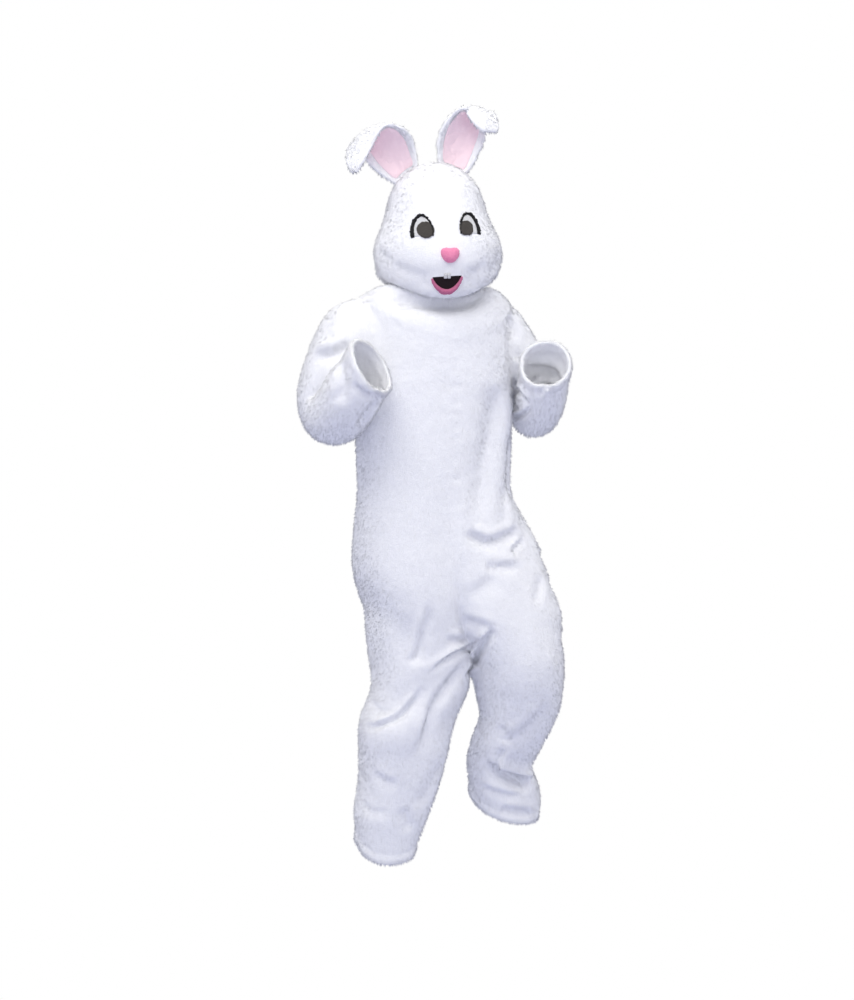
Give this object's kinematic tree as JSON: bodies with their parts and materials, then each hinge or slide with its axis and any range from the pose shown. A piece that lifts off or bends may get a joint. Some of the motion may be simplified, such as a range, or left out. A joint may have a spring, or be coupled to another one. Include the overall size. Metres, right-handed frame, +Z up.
{
  "type": "rabbit mascot costume",
  "caption": "White plush rabbit mascot costume in a stepping pose: hollow head with folded pink-lined ears, and a loose one-piece suit open at neck, cuffs and hems.",
  "frame": {"origin": "middle of the suit's neck opening, where the suit hangs round the wearer's neck and shoulders", "axes": "+Z up, the chest faces -Y, +X towards the wearer's left"},
  "size_m": [0.6618, 0.3866, 1.866],
  "materials": {
    "white_plush": "short white pile, matt, with a soft sheen",
    "pink_satin": "pale pink smooth satin lining",
    "white_felt": "matt white felt",
    "dark_mesh": "dark see-through mesh fabric",
    "black_felt": "matt black felt",
    "nose_pink": "padded pink plush",
    "rose_felt": "matt dark rose felt",
    "zip_tape": "white woven tape with nylon coil",
    "zip_metal": "satin nickel"
  },
  "bodies": {
    "costume": {"back_left": "white_plush", "back_right": "white_plush", "ear_left_back": "white_plush", "ear_left_lining": "pink_satin", "ear_right_back": "white_plush", "ear_right_lining": "pink_satin", "eye_left_pupil": "dark_mesh", "eye_left_white": "white_felt", "eye_right_pupil": "dark_mesh", "eye_right_white": "white_felt", "front_left": "white_plush", "front_right": "white_plush", "head_back": "white_plush", "head_front": "white_plush", "lash_left": "black_felt", "lash_right": "black_felt", "lip": "rose_felt", "mouth": "dark_mesh", "nose": "nose_pink", "sleeve_left": "white_plush", "sleeve_right": "white_plush", "tooth_left": "white_felt", "tooth_right": "white_felt", "zip_slider": "zip_metal", "zip_tape": "zip_tape"},
    "zip_pull": {"zip_pull": "zip_metal"}
  },
  "joints": [
    {"name": "zip_pull_hinge", "type": "hinge", "parent": "costume", "child": "zip_pull", "pos_m": [0, 0.12323, -0.03333], "axis": [1, 0, 0], "range_deg": [0, 150]}
  ]
}
